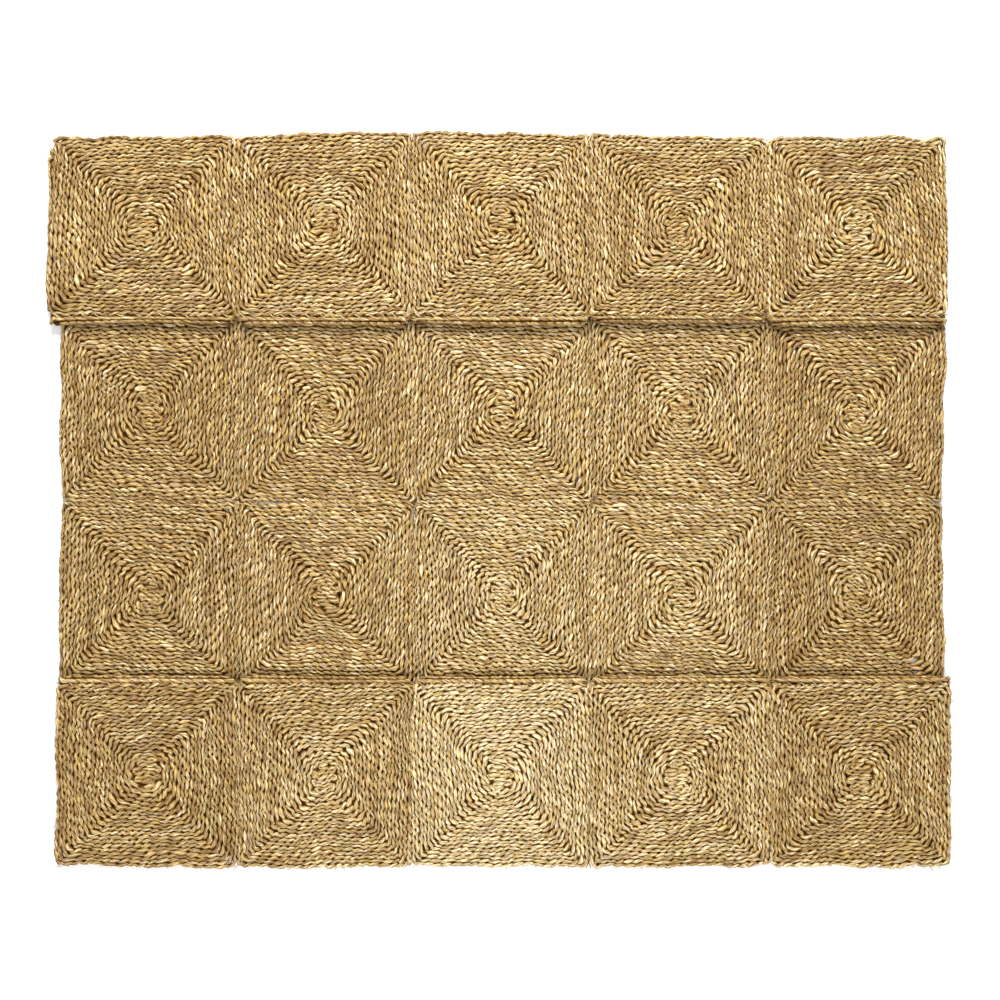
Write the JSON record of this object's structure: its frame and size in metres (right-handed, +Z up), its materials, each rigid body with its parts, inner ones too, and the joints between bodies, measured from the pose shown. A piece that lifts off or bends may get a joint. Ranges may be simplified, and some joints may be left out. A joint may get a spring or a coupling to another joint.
{
  "type": "folded seagrass panel rug",
  "caption": "Natural seagrass rug of square coiled-cord panels sewn edge to edge, lying with both ends folded in a Z.",
  "frame": {"origin": "centre of the folded rug's underside, at the floor", "axes": "+X along the folds, +Y from the foot end to the head end, +Z up"},
  "size_m": [1.5206, 1.2348, 0.0261],
  "materials": {
    "seagrass_cord": "natural twisted seagrass cord, straw with paler and browner strands, dull sheen"
  },
  "bodies": {
    "root": {"panel_head_top_1": "seagrass_cord", "panel_head_top_2": "seagrass_cord", "panel_head_top_3": "seagrass_cord", "panel_head_top_4": "seagrass_cord", "panel_head_top_5": "seagrass_cord", "panel_field_head_1": "seagrass_cord", "panel_field_head_2": "seagrass_cord", "panel_field_head_3": "seagrass_cord", "panel_field_head_4": "seagrass_cord", "panel_field_head_5": "seagrass_cord", "panel_field_foot_1": "seagrass_cord", "panel_field_foot_2": "seagrass_cord", "panel_field_foot_3": "seagrass_cord", "panel_field_foot_4": "seagrass_cord", "panel_field_foot_5": "seagrass_cord", "panel_foot_top_1": "seagrass_cord", "panel_foot_top_2": "seagrass_cord", "panel_foot_top_3": "seagrass_cord", "panel_foot_top_4": "seagrass_cord", "panel_foot_top_5": "seagrass_cord", "panel_head_middle_1": "seagrass_cord", "panel_head_middle_2": "seagrass_cord", "panel_head_middle_3": "seagrass_cord", "panel_head_middle_4": "seagrass_cord", "panel_head_middle_5": "seagrass_cord", "panel_head_bottom_1": "seagrass_cord", "panel_head_bottom_2": "seagrass_cord", "panel_head_bottom_3": "seagrass_cord", "panel_head_bottom_4": "seagrass_cord", "panel_head_bottom_5": "seagrass_cord", "panel_foot_middle_1": "seagrass_cord", "panel_foot_middle_2": "seagrass_cord", "panel_foot_middle_3": "seagrass_cord", "panel_foot_middle_4": "seagrass_cord", "panel_foot_middle_5": "seagrass_cord", "panel_foot_bottom_1": "seagrass_cord", "panel_foot_bottom_2": "seagrass_cord", "panel_foot_bottom_3": "seagrass_cord", "panel_foot_bottom_4": "seagrass_cord", "panel_foot_bottom_5": "seagrass_cord"}
  },
  "joints": []
}
